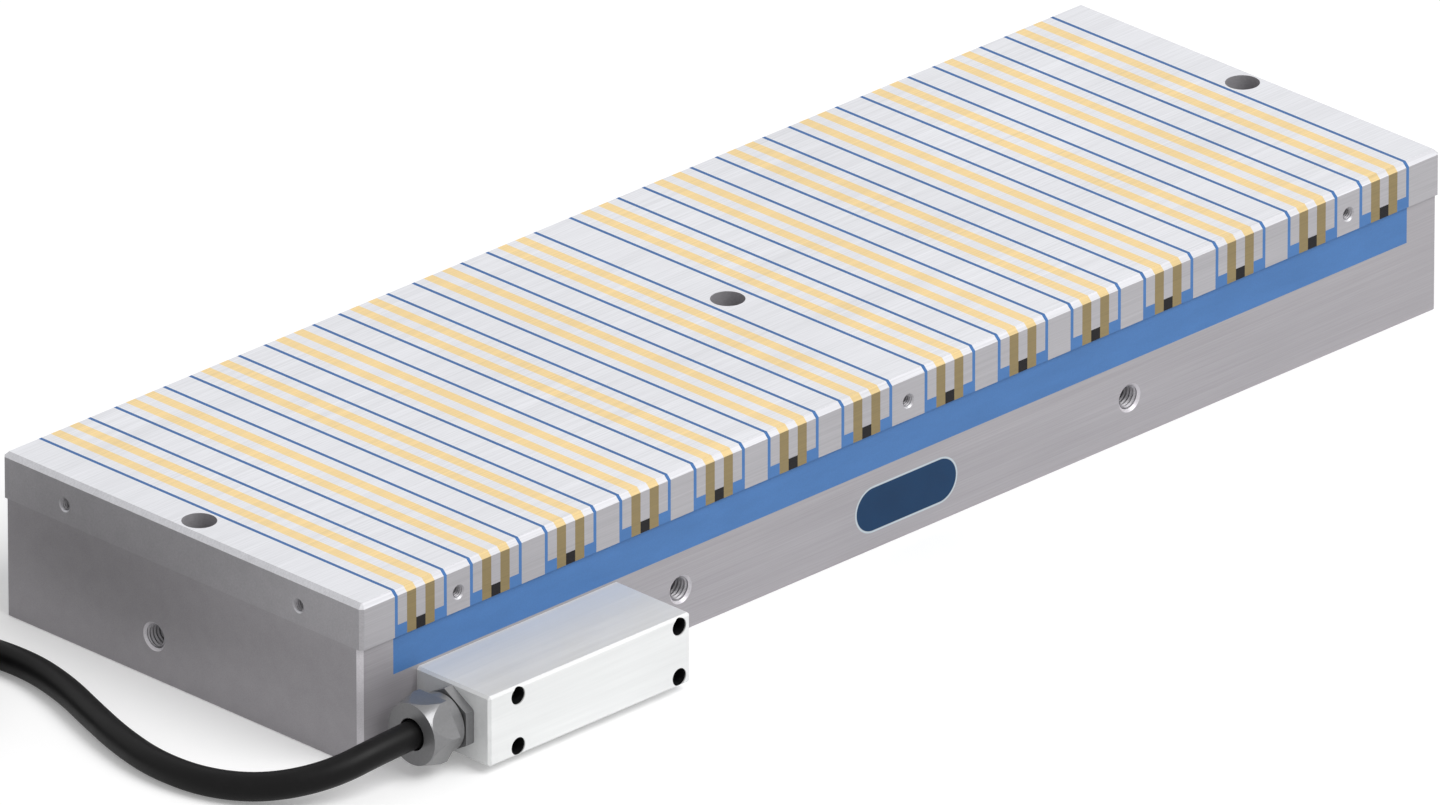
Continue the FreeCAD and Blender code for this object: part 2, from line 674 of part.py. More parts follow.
def gland_cap_nut():
    """A hexagon turned down to a long cone at the front, with a round collar behind."""
    corner = CAP_HEX / math.sqrt(3) + 0.5
    slope = math.tan(math.radians(CAP_CONE_DEGREES))
    cone_start = CAP_FRONT - (corner - CAP_FACE_RADIUS) / slope
    cone = turned([(CAP_HEX_START, 0), (CAP_HEX_START, corner), (cone_start, corner),
                   (CAP_FRONT, CAP_FACE_RADIUS), (CAP_FRONT, 0)])
    head = hex_bar(CAP_HEX, CAP_HEX_START, CAP_FRONT, 30).common(cone)
    collar = turned([(CAP_COLLAR_START, 0), (CAP_COLLAR_START, 11.6), (CAP_COLLAR_START + 0.5, 12.1),
                     (CAP_HEX_START, 12.6), (CAP_HEX_START, 0)])
    bore = turned([
        (CAP_COLLAR_START, 0),
        (CAP_COLLAR_START, GLAND_NECK_RADIUS + 0.1),
        (16.2, GLAND_NECK_RADIUS + 0.1),
        (16.2, 8.9),
        (18.1, 8.9),
        (18.1, CAP_HOLE),
        (CAP_FRONT, CAP_HOLE),
        (CAP_FRONT, 0),
    ])
    return on_gland(head.fuse(collar).removeSplitter().cut(bore))


# ---- cable and coil ----

def cable_entry():
    """The straight end of the cable, inside the gland and the box."""
    start = point(*CABLE_ROUTE[0])
    return rod(CABLE_RADIUS, start, X_AXIS, CABLE_ENTRY_END - start.x)


def cable_coil():
    """The outer shape of the put-away coil, two layers of turns."""
    height = CABLE_COIL_LAYERS * 2 * CABLE_RADIUS
    centre = point(COIL_CENTRE[0], COIL_CENTRE[1], 0)
    outside = rod(CABLE_COIL_OUTER, centre, Z_AXIS, height)
    return outside.cut(rod(CABLE_COIL_INNER, centre, Z_AXIS, height))


# ---- connector, built along +X from where the cable enters it ----

def on_connector(shape):
    """Carry a shape from the X axis to the end of the tail."""
    before, end = (point(*p) for p in TAIL_ROUTE[-2:])
    heading = end - before
    yaw = math.degrees(math.atan2(heading.y, heading.x))
    return placed(shape, end - heading.normalize() * 8.0, yaw)


def connector_back_nut():
    """The cable clamp at the back of the connector."""
    cone = turned([(0, 0), (0, 9.5), (4.0, 13.2), (BACK_NUT_LENGTH, 13.2), (BACK_NUT_LENGTH, 0)])
    nut = hex_bar(BACK_NUT_HEX, 0, BACK_NUT_LENGTH).common(cone)
    return on_connector(nut.cut(rod(CABLE_RADIUS + 0.05, point(0, 0, 0), X_AXIS, BACK_NUT_LENGTH)))


def connector_shell():
    """The metal body, with a groove that holds the coupling ring."""
    outer = [
        (BACK_NUT_LENGTH, 0),
        (BACK_NUT_LENGTH, 10.2),
        (BACK_NUT_LENGTH + 2.0, SHELL_RADIUS),
        (RING_START - 3.0, SHELL_RADIUS),
        (RING_START - 3.0, 11.2),
        (RING_START + RING_LENGTH - 6.0, 11.2),
        (CONNECTOR_LENGTH - 1.0, 10.4),
        (CONNECTOR_LENGTH, 9.8),
        (CONNECTOR_LENGTH, 8.6),
        (CONNECTOR_LENGTH - 16.0, 8.6),
        (CONNECTOR_LENGTH - 16.0, 0),
    ]
    return on_connector(turned(outer))


def connector_ring():
    """The coupling ring, free to turn on the shell, with V-shaped grip grooves."""
    first, last = RING_START - 2.5, RING_START - 2.5 + RING_LENGTH
    sleeve = turned([(first, 11.3), (first, RING_RADIUS), (last, RING_RADIUS), (last, 11.3)])
    groove = Part.Face(Part.makePolygon([
        point(first + 3.0, -1.6, RING_RADIUS + 0.2),
        point(first + 3.0, 1.6, RING_RADIUS + 0.2),
        point(first + 3.0, 0, RING_RADIUS - 1.2),
        point(first + 3.0, -1.6, RING_RADIUS + 0.2),
    ])).extrude(point(RING_LENGTH, 0, 0))
    grooves = []
    for i in range(RING_GROOVES):
        tool = groove.copy()
        tool.rotate(point(0, 0, 0), X_AXIS, 360.0 * i / RING_GROOVES)
        grooves.append(tool)
    return on_connector(sleeve.cut(grooves))


def connector_insert():
    """The insulator that carries the pins."""
    face = CONNECTOR_LENGTH - 10.0
    disc = turned([(CONNECTOR_LENGTH - 16.0, 0), (CONNECTOR_LENGTH - 16.0, 8.55), (face, 8.55), (face, 0)])
    return on_connector(disc.cut([rod(PIN_RADIUS, point(CONNECTOR_LENGTH - 16.0, y, z), X_AXIS, 6.0)
                                  for y, z in pin_places()]))


def pin_places():
    angles = [2 * math.pi * i / PIN_COUNT for i in range(PIN_COUNT)]
    return [(PIN_CIRCLE * math.cos(a), PIN_CIRCLE * math.sin(a)) for a in angles]


def connector_pins():
    start = CONNECTOR_LENGTH - 16.0
    return [on_connector(rod(PIN_RADIUS, point(start, y, z), X_AXIS, 13.0)) for y, z in pin_places()]


# ---- the whole chuck ----

def main():
    os.makedirs("parts", exist_ok=True)
    envelope = plate_envelope()
    starts = insert_starts()
    centres = pole_centres()

    save("base_body", base_body())
    save("end_pole_left", end_pole(envelope, -1))
    save("end_pole_right", end_pole(envelope, 1))
    stop_poles = (0, len(centres) // 2, len(centres) - 1)
    for index, centre in enumerate(centres):
        save("pole_bar_%02d" % (index + 1), pole_bar(envelope, centre, index in stop_poles))
    for index, start in enumerate(starts):
        save("pole_strips_%02d" % (index + 1), *insert_strips(envelope, start))
    save("brass_spacers", *[bar for start in starts for bar in insert_brass(envelope, start)])
    save("ferrite_bars", *[ferrite_bar(start) for start in starts])

    magnets = [magnet for centre in centres for magnet in alnico_blocks(centre)]
    windings = [switching_coil(centre) for centre in centres]
    bush = centre_bush()
    print("lead wires")
    leads = lead_wires()
    bush_hole = rod(BUSH_RADIUS, point(0, 0, POCKET_FLOOR), Z_AXIS, POTTING_DEPTH)
    save("resin_potting", resin_potting(envelope, magnets + windings + leads + [bush_hole]))
    save("alnico_magnets", *magnets)
    save("switching_coils", *windings)
    save("centre_bush", bush)
    save("plate_screws", *plate_screws())
    save("name_plate", stadium(NAME_PLATE_LENGTH, NAME_PLATE_HEIGHT, NAME_PLATE_THICKNESS, -BASE_HALF_WIDTH))

    save("connection_box", connection_box())
    save("box_gasket", box_gasket())
    save("box_screws", *box_screws())
    save("terminal_block", terminal_block())
    save("lead_wires", *leads)
    print("cable cores")
    save("cable_cores", *cable_cores())

    save("gland_body", gland_body())
    save("gland_seal", gland_seal())
    save("gland_thrust_ring", gland_thrust_ring())
    save("gland_cap_nut", gland_cap_nut())

    print("cable bend radii", ["%.0f" % bend for bend, reach in bend_radii(CABLE_ROUTE)])
    print("tail bend radii", ["%.0f" % bend for bend, reach in bend_radii(TAIL_ROUTE)])
    save("cable_entry", cable_entry())
    save("cable", tube(CABLE_ROUTE, CABLE_RADIUS))
    save("cable_coil", cable_coil())
    save("cable_tail", tube(TAIL_ROUTE, CABLE_RADIUS))
    save("connector_back_nut", connector_back_nut())
    save("connector_shell", connector_shell())
    save("connector_ring", connector_ring())
    save("connector_insert", connector_insert())
    save("connector_pins", *connector_pins())


main()
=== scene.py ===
"""Magnetic chuck: its cable, finishes, floor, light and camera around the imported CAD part."""

import math

import bpy
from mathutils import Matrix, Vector


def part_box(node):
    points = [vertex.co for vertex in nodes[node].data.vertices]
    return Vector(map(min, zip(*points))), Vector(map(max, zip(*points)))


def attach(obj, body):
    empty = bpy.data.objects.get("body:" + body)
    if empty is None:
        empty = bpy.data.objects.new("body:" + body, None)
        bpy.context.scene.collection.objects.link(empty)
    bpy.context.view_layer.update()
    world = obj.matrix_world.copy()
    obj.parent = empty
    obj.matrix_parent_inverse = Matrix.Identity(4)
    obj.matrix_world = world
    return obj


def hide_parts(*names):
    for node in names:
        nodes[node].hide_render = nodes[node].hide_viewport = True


MM = 0.001
CHUCK = "chuck"

# ---- cable, in millimetres -------------------------------------------------------------
CABLE_DIAMETER = 11.5
CABLE_ROUTE = [
    (-286, -118.5, 18.5),
    (-306, -118.5, 18),
    (-330, -113.5, 12.5),
    (-348, -97, 7.3),
    (-359, -75.5, 5.75),
    (-361.5, -50, 5.75),
    (-356.5, -25, 5.75),
    (-348, 0, 5.75),
    (-338.7, 25, 5.75),
    (-333.7, 51, 5.75),
    (-337, 78, 5.75),
    (-341.5, 97, 5.75),
]
TAIL_ROUTE = [
    (-344, 112, 17.6),
    (-347, 136, 22),
    (-363.5, 158.5, 31),
    (-388.5, 171.3, 37.5),
    (-416, 172, 37.5),
]
COIL_CENTRE = (-424, 108)
COIL_OUTER = 80.5  # centre line of the outermost turn
COIL_FIRST_ANGLE = 13  # degrees, where the cable runs into the coil
COIL_STEP = 22.5  # degrees between two control points
COIL_POINTS = 95
LOWER_TURNS = 3
CLIMB_TURNS = 0.5  # share of a turn in which the cable climbs onto the lower layer
SPLINE_INSET = 0.981  # how far the spline runs inside control points a step apart

# ---- threads of the tapped holes, in millimetres ---------------------------------------
M12_BORE, M12_DEPTH, M12_PITCH = 5.1, 22.0, 1.75  # the bore is its radius
M12_SIDE_X = (-125, 125)  # on the front and the back
M12_SIDE_Y = 97.9  # from the middle to where the thread starts, inside the countersink
M12_END_X, M12_END_Y = 298.9, 15.3
M12_HEIGHT = 18.4
M6_BORE, M6_DEPTH, M6_PITCH = 2.5, 11.0, 1.0
M6_SIDE_X = (-247.5, 0, 247.5)
M6_SIDE_Y = 99.3
M6_END_X = 299.3
M6_END_Y = (-65, 65)
M6_HEIGHT = 58.5
THREAD_HEIGHT = 0.5  # of the pitch
THREAD_GAP = 0.03  # between the foot of the ridge and the bore's wall
THREAD_SIDES = 48
THREAD_ROWS = 8  # per pitch

# ---- screw wells of the connection box, lined black as painted shade, in millimetres ---
WELL_X = (-253.6, -165.6)
WELL_Z = (7.7, 29.3)
WELL_RADIUS = 3.66
WELL_LIP = 0.5
WELL_DEPTH = 15.5
WELL_SIDES = 32

# ---- strap ties round the coil, in millimetres -----------------------------------------
TIE_ANGLES = (215, 325)
TIE_WIDTH = 12.0
TIE_THICKNESS = 0.8
TIE_CORNER = 5.0
TIE_CORNER_STEPS = 6
TIE_BEVEL = 0.3


def metres(points):
    return [tuple(MM * c for c in p) for p in points]


# ---- the cable -------------------------------------------------------------------------


def coil_point(turn):
    """Radius and height of the coil's centre line after that many turns."""
    pitch = CABLE_DIAMETER
    low = CABLE_DIAMETER / 2
    if turn <= LOWER_TURNS:
        return COIL_OUTER - pitch * turn, low
    above = turn - LOWER_TURNS
    under = COIL_OUTER - pitch * (turn - 1)
    if above <= CLIMB_TURNS:
        lean = math.pi / 2 * above / CLIMB_TURNS
        return under - pitch * math.cos(lean), low + pitch * math.sin(lean)
    landing = COIL_OUTER - pitch * (LOWER_TURNS + CLIMB_TURNS - 1)
    return landing + pitch * (above - CLIMB_TURNS), low + pitch


def coil_route():
    """The coil's turns: a spiral inwards on the floor, then outwards on top of it."""
    points = []
    for k in range(COIL_POINTS):
        radius, height = coil_point(k * COIL_STEP / 360)
        angle = math.radians(COIL_FIRST_ANGLE + k * COIL_STEP)
        reach = radius / SPLINE_INSET
        points.append(
            (
                COIL_CENTRE[0] + reach * math.cos(angle),
                COIL_CENTRE[1] + reach * math.sin(angle),
                height,
            )
        )
    return points


def make_cable():
    route = metres(CABLE_ROUTE + coil_route() + TAIL_ROUTE)
    data = bpy.data.curves.new("flex", "CURVE")
    data.dimensions = "3D"
    data.bevel_depth = MM * CABLE_DIAMETER / 2
    data.bevel_resolution = 8
    data.resolution_u = 8
    data.use_fill_caps = True
    spline = data.splines.new("NURBS")
    spline.points.add(len(route) - 1)
    for point, place in zip(spline.points, route):
        point.co = (*place, 1.0)
    spline.order_u = 3
    spline.use_endpoint_u = True
    spline.use_smooth = True
    flex = bpy.data.objects.new("flex", data)
    bpy.context.scene.collection.objects.link(flex)
    flex.data.materials.append(cable_sheath())
    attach(flex, CHUCK)
    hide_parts("cable", "cable_coil", "cable_tail")


# ---- meshes ----------------------------------------------------------------------------


def add_mesh(name, verts, faces, material):
    mesh = bpy.data.meshes.new(name)
    mesh.from_pydata(verts, [], faces)
    mesh.update()
    mesh.polygons.foreach_set("use_smooth", [True] * len(mesh.polygons))
    mesh.materials.append(material)
    piece = bpy.data.objects.new(name, mesh)
    bpy.context.scene.collection.objects.link(piece)
    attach(piece, CHUCK)


def grid_faces(rows, columns, start=0, loop_rows=False):
    """Quads of a grid whose columns close on themselves."""
    faces = []
    for i in range(rows if loop_rows else rows - 1):
        low, high = i * columns, (i + 1) % rows * columns
        for j in range(columns):
            after = (j + 1) % columns
            quad = (low + j, low + after, high + after, high + j)
            faces.append(tuple(start + corner for corner in quad))
    return faces


def thread(mouth, inward, bore, depth, pitch):
    """The wall of a tapped hole: a helical ridge that stands in from the bore."""
    inward = Vector(inward)
    side = inward.orthogonal().normalized()
    other = inward.cross(side)
    rows = int(depth / pitch * THREAD_ROWS)
    verts = []
    for i in range(rows + 1):
        along = depth * i / rows
        for j in range(THREAD_SIDES):
            share = j / THREAD_SIDES
            phase = (along / pitch - share) % 1
            ridge = 1 - abs(2 * phase - 1)
            radius = bore - THREAD_GAP - THREAD_HEIGHT * pitch * ridge
            angle = 2 * math.pi * share
            place = Vector(mouth) + inward * along
            place += radius * (side * math.cos(angle) + other * math.sin(angle))
            verts.append(tuple(place * MM))
    return verts, rows + 1


def add_threads(name, holes, bore, depth, pitch, material):
    verts, faces = [], []
    for mouth, inward in holes:
        ring, rows = thread(mouth, inward, bore, depth, pitch)
        faces += grid_faces(rows, THREAD_SIDES, len(verts))
        verts += ring
    add_mesh(name, verts, faces, material)


def add_all_threads(material):
    m12_holes, m6_holes = [], []
    for side in (-1, 1):
        along_y, along_x = (0, -side, 0), (-side, 0, 0)
        m12_holes += [((x, side * M12_SIDE_Y, M12_HEIGHT), along_y) for x in M12_SIDE_X]
        m12_holes.append(((side * M12_END_X, M12_END_Y, M12_HEIGHT), along_x))
        m6_holes += [((x, side * M6_SIDE_Y, M6_HEIGHT), along_y) for x in M6_SIDE_X]
        m6_holes += [((side * M6_END_X, y, M6_HEIGHT), along_x) for y in M6_END_Y]
    add_threads("threads_m12", m12_holes, M12_BORE, M12_DEPTH, M12_PITCH, material)
    add_threads("threads_m6", m6_holes, M6_BORE, M6_DEPTH, M6_PITCH, material)


def add_well_shade_linings(material):
    """Black linings on the walls of the box's screw wells: painted shade inside the wells."""
    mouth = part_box("connection_box")[0].y / MM
    verts, faces = [], []
    for x in WELL_X:
        for z in WELL_Z:
            start = len(verts)
            for y in (mouth + WELL_LIP, mouth + WELL_DEPTH):
                for j in range(WELL_SIDES):
                    angle = 2 * math.pi * j / WELL_SIDES
                    across = WELL_RADIUS * math.cos(angle)
                    up = WELL_RADIUS * math.sin(angle)
                    verts.append(tuple(MM * c for c in (x + across, y, z + up)))
            faces += grid_faces(2, WELL_SIDES, start)
    add_mesh("well_shade_linings", verts, faces, material)


def add_ties(material):
    """Two strap ties round the coil's section."""
    top = 2 * CABLE_DIAMETER
    for number, degrees in enumerate(TIE_ANGLES, 1):
        angle = math.radians(degrees)
        share = (degrees - COIL_FIRST_ANGLE) / 360
        turns = [coil_point(n + share)[0] for n in range(2 * LOWER_TURNS)]
        inner = min(turns) - CABLE_DIAMETER / 2
        outer = max(turns) + CABLE_DIAMETER / 2
        out = Vector((math.cos(angle), math.sin(angle), 0))
        along = Vector((-math.sin(angle), math.cos(angle), 0))
        loops = []
        for grow in (0.0, TIE_THICKNESS):
            loop = []
            corners = (
                (outer, TIE_THICKNESS, -90),
                (outer, top, 0),
                (inner, top, 90),
                (inner, TIE_THICKNESS, 180),
            )
            for radius, height, first in corners:
                cx = radius - math.copysign(TIE_CORNER, radius - (inner + outer) / 2)
                cz = height - math.copysign(TIE_CORNER, height - top / 2)
                for k in range(TIE_CORNER_STEPS + 1):
                    turn = math.radians(first + 90 * k / TIE_CORNER_STEPS)
                    reach = TIE_CORNER + grow
                    loop.append((cx + reach * math.cos(turn), cz + reach * math.sin(turn)))
            loops.append(loop)
        verts = []
        half = TIE_WIDTH / 2
        flat = half - TIE_BEVEL
        section = [(0, -half), (1, -flat), (1, flat), (0, half)]
        for layer, shift in section:
            for radius, height in loops[layer]:
                place = Vector((*COIL_CENTRE, 0)) + out * radius + along * shift
                place.z = height
                verts.append(tuple(place * MM))
        count = len(loops[0])
        faces = grid_faces(len(section), count, loop_rows=True)
        add_mesh(f"coil_tie_{number}", verts, faces, material)


# ---- materials -------------------------------------------------------------------------


class Look:
    """One procedural material: the Principled shader and the nodes that feed it."""

    def __init__(self, name, metallic=0.0, specular=0.5):
        self.material = bpy.data.materials.new(name)
        self.material.use_nodes = True
        self.tree = self.material.node_tree
        self.shader = self.tree.nodes["Principled BSDF"]
        self.shader.inputs["Metallic"].default_value = metallic
        self.shader.inputs["Specular IOR Level"].default_value = specular
        self.place = self.node("ShaderNodeTexCoord").outputs["Object"]

    def node(self, kind, **settings):
        made = self.tree.nodes.new(kind)
        for key, value in settings.items():
            setattr(made, key, value)
        return made

    def feed(self, socket, value):
        if isinstance(value, bpy.types.NodeSocket):
            self.tree.links.new(value, socket)
        elif isinstance(value, tuple) and len(value) == 3 and socket.type == "RGBA":
            socket.default_value = (*value, 1.0)
        else:
            socket.default_value = value

    def noise(self, scale, detail=3.0, roughness=0.55):
        """Noise with its own scale along X, Y and Z, in cycles per metre."""
        mapping = self.node("ShaderNodeMapping")
        self.feed(mapping.inputs["Vector"], self.place)
        mapping.inputs["Scale"].default_value = scale
        made = self.node("ShaderNodeTexNoise")
        made.inputs["Scale"].default_value = 1.0
        made.inputs["Detail"].default_value = detail
        made.inputs["Roughness"].default_value = roughness
        self.feed(made.inputs["Vector"], mapping.outputs["Vector"])
        return made.outputs["Fac"]

    def spread(self, value, low, high, to_low=0.0, to_high=1.0):
        made = self.node("ShaderNodeMapRange")
        for socket, part in zip(made.inputs, (value, low, high, to_low, to_high)):
            self.feed(socket, part)
        return made.outputs["Result"]

    def math(self, operation, a, b=0.0):
        made = self.node("ShaderNodeMath", operation=operation)
        self.feed(made.inputs[0], a)
        self.feed(made.inputs[1], b)
        return made.outputs["Value"]

    def mix(self, share, a, b, blend="MIX"):
        made = self.node("ShaderNodeMix", data_type="RGBA", blend_type=blend)
        self.feed(made.inputs["Factor"], share)
        self.feed(made.inputs[6], a)
        self.feed(made.inputs[7], b)
        return made.outputs[2]

    def axes(self, vector):
        made = self.node("ShaderNodeSeparateXYZ")
        self.feed(made.inputs["Vector"], vector)
        return [made.outputs[k] for k in "XYZ"]

    def facing(self):
        """How much the face's own normal lies along X, Y and Z."""
        return [self.math("ABSOLUTE", part) for part in self.axes(self.object_normal())]

    def object_normal(self):
        return self.node("ShaderNodeTexCoord").outputs["Normal"]

    def edges(self):
        """1 on chamfers and rounds, 0 on faces square to an axis."""
        x, y, z = self.facing()
        most = self.math("MAXIMUM", self.math("MAXIMUM", x, y), z)
        return self.spread(most, 0.98, 0.85)

    def tint(self, base, shade, amount=0.06):
        """base made a little lighter and darker by shade."""
        low, high = 1 - amount, 1 + amount
        return self.mix(
            1.0, base, self.grey(self.spread(shade, 0.3, 0.7, low, high)), "MULTIPLY"
        )

    def grey(self, value):
        made = self.node("ShaderNodeCombineColor")
        for socket in made.inputs[:3]:
            self.feed(socket, value)
        return made.outputs["Color"]

    def bump(self, height, distance, strength=1.0):
        made = self.node("ShaderNodeBump")
        made.inputs["Strength"].default_value = strength
        made.inputs["Distance"].default_value = distance
        self.feed(made.inputs["Height"], height)
        self.feed(self.shader.inputs["Normal"], made.outputs["Normal"])

    def finish(self, colour, roughness):
        self.feed(self.shader.inputs["Base Color"], colour)
        self.feed(self.shader.inputs["Roughness"], roughness)
        return self.material


def ground_metal(
    name, top, side, metallic, edge_highlight=None, lines=1300.0, streak=0.11, rough=(0.34, 0.5)
):
    """Metal ground on its top face, in fine lines along X, and satin on its sides; its top and
    side colours also differ as painted light and shade.
    """
    look = Look(name, metallic=metallic)
    fine = look.noise((14.0, lines, lines), detail=4.0, roughness=0.7)
    broad = look.noise((9.0, 150.0, 150.0), detail=2.0)
    cloud = look.noise((11.0, 11.0, 11.0), detail=2.0)
    up_facing_for_painted_light = look.axes(look.object_normal())[2]
    # one colour on faces turned up, another on the sides: painted light and shade, partly a
    # ground top beside satin sides
    base = look.mix(look.spread(up_facing_for_painted_light, 0.35, 0.95), side, top)
    # chamfers and rounds take a lighter colour: a painted highlight
    if edge_highlight:
        base = look.mix(look.edges(), base, edge_highlight)
    base = look.tint(base, fine, streak)
    base = look.tint(base, broad, 0.03)
    base = look.tint(base, cloud, 0.025)
    look.bump(fine, 0.00003, 0.5)
    return look.finish(base, look.spread(fine, 0.3, 0.7, *rough))


def milled_metal(name, base, metallic, rough=(0.28, 0.42), lines=(900.0, 900.0, 900.0)):
    """Turned or milled metal with faint tool marks."""
    look = Look(name, metallic=metallic)
    marks = look.noise(lines, detail=3.0, roughness=0.65)
    cloud = look.noise((35.0, 35.0, 35.0), detail=3.0)
    colour = look.tint(look.tint(base, marks, 0.05), cloud, 0.05)
    look.bump(marks, 0.00002, 0.4)
    return look.finish(colour, look.spread(cloud, 0.3, 0.7, *rough))


def blue_resin():
    """Cast potting resin, ground flush on top: blue with faint flow and fine pores, its top
    darker than its sides as painted shade.
    """
    look = Look("blue_resin_cast", specular=0.2)
    cloud = look.noise((30.0, 60.0, 120.0), detail=4.0)
    pores = look.noise((2500.0, 2500.0, 2500.0), detail=1.0)
    up_facing_for_painted_light = look.axes(look.object_normal())[2]
    # darker blue on faces turned up than on the sides: painted shade
    base = look.mix(look.spread(up_facing_for_painted_light, 0.5, 0.95), (0.068, 0.180, 0.42), (0.042, 0.14, 0.36))
    base = look.tint(look.tint(base, cloud, 0.06), pores, 0.04)
    look.bump(pores, 0.00002, 0.3)
    return look.finish(base, look.spread(pores, 0.3, 0.7, 0.38, 0.5))


def sintered_ferrite():
    """Black ferrite: dull, with a fine sintered grain."""
    look = Look("ferrite_sintered", specular=0.15)
    grain = look.noise((1800.0, 1800.0, 1800.0), detail=4.0, roughness=0.7)
    base = look.mix(look.spread(grain, 0.4, 0.75), (0.011, 0.010, 0.011), (0.024, 0.022, 0.023))
    look.bump(grain, 0.00005, 0.6)
    return look.finish(base, look.spread(grain, 0.3, 0.7, 0.5, 0.7))


def cable_sheath():
    """Black rubber sheath: semi-matt, with the fine grain of an extruded skin and dust."""
    look = Look("cable_sheath_rubber", specular=0.14)
    grain = look.noise((1500.0, 1500.0, 1500.0), detail=3.0)
    dust = look.noise((70.0, 70.0, 70.0), detail=5.0, roughness=0.7)
    dusted = look.spread(dust, 0.5, 0.8, 0.0, 0.5)
    base = look.mix(dusted, (0.0052, 0.0050, 0.0052), (0.012, 0.0116, 0.012))
    look.bump(grain, 0.00006, 0.35)
    return look.finish(base, look.spread(dust, 0.3, 0.75, 0.38, 0.5))


def woven_strap():
    """Black woven tie: ribs across the strap."""
    look = Look("woven_strap", specular=0.2)
    weave = look.noise((1600.0, 1600.0, 500.0), detail=2.0)
    fleck = look.noise((300.0, 300.0, 300.0), detail=3.0)
    base = look.mix(look.spread(weave, 0.35, 0.65), (0.012, 0.012, 0.013), (0.03, 0.03, 0.032))
    look.bump(weave, 0.0002, 0.7)
    return look.finish(look.tint(base, fleck, 0.1), 0.8)


# ---- painted highlight rim of the name plate, in metres from its outline: where it starts and where it is full ---
PLATE_HIGHLIGHT_RIM = 0.0009
PLATE_HIGHLIGHT_RIM_FULL = 0.00075


def name_plate():
    """A blank navy plate, lacquered, with a thin light rim, a painted highlight, that follows its
    rounded ends.
    """
    low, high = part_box("name_plate")
    centre = (low + high) / 2
    half = (high.z - low.z) / 2
    run = (high.x - low.x) / 2 - half
    look = Look("navy_plate_lacquer", specular=0.15)
    x, _, z = look.axes(look.place)
    past = look.math("SUBTRACT", look.math("ABSOLUTE", look.math("SUBTRACT", x, centre.x)), run)
    past = look.math("MAXIMUM", past, 0.0)
    up = look.math("SUBTRACT", z, centre.z)
    reach = look.math(
        "SQRT", look.math("ADD", look.math("MULTIPLY", past, past), look.math("MULTIPLY", up, up))
    )
    rim_highlight_mask = look.spread(reach, half - PLATE_HIGHLIGHT_RIM, half - PLATE_HIGHLIGHT_RIM_FULL)
    cloud = look.noise((60.0, 60.0, 60.0), detail=3.0)
    grain = look.noise((3000.0, 3000.0, 3000.0), detail=1.0)
    navy = look.tint((0.0050, 0.036, 0.098), cloud, 0.08)
    # the light grey-blue rim colour is a painted highlight
    colour = look.mix(rim_highlight_mask, navy, (0.5, 0.56, 0.6))
    look.bump(grain, 0.00001, 0.3)
    return look.finish(colour, look.spread(cloud, 0.3, 0.7, 0.3, 0.4))


def plain_plastic(name, light, dark, scale=400.0, rough=(0.45, 0.6)):
    """Moulded or blackened parts: fine grain between two close shades."""
    look = Look(name, specular=0.2)
    grain = look.noise((scale, scale, scale), detail=3.0)
    look.bump(grain, 0.00003, 0.4)
    colour = look.mix(look.spread(grain, 0.35, 0.65), dark, light)
    return look.finish(colour, look.spread(grain, 0.3, 0.7, *rough))


